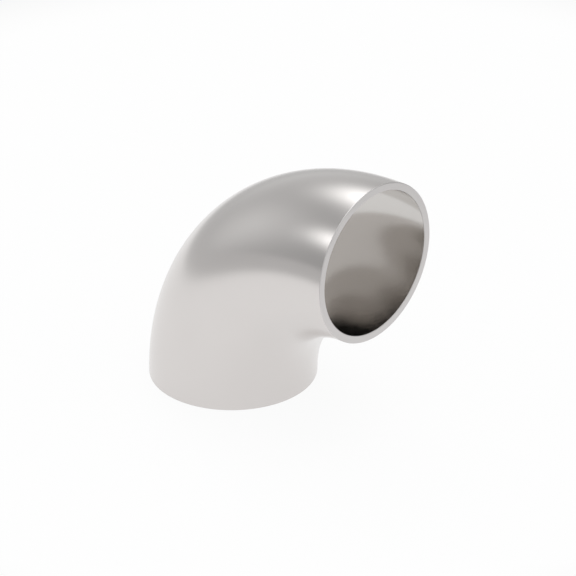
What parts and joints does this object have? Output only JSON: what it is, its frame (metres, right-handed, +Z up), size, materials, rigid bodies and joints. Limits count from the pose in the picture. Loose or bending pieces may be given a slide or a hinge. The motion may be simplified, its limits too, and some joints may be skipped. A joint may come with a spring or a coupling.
{
  "type": "butt-weld pipe elbow",
  "caption": "Ninety degree butt-weld elbow in thin-walled stainless steel tube, bent to one even radius, with plain square-cut ends.",
  "frame": {"origin": "centre of the lower end's flat ring, on the surface that the part stands on", "axes": "+Z up, along the tube where it leaves the lower end; +X the way the upper end faces; the bend lies in the XZ plane"},
  "size_m": [0.0687, 0.0424, 0.0687],
  "materials": {
    "stainless_steel": "fine satin ground"
  },
  "bodies": {
    "root": {"elbow": "stainless_steel"}
  },
  "joints": []
}
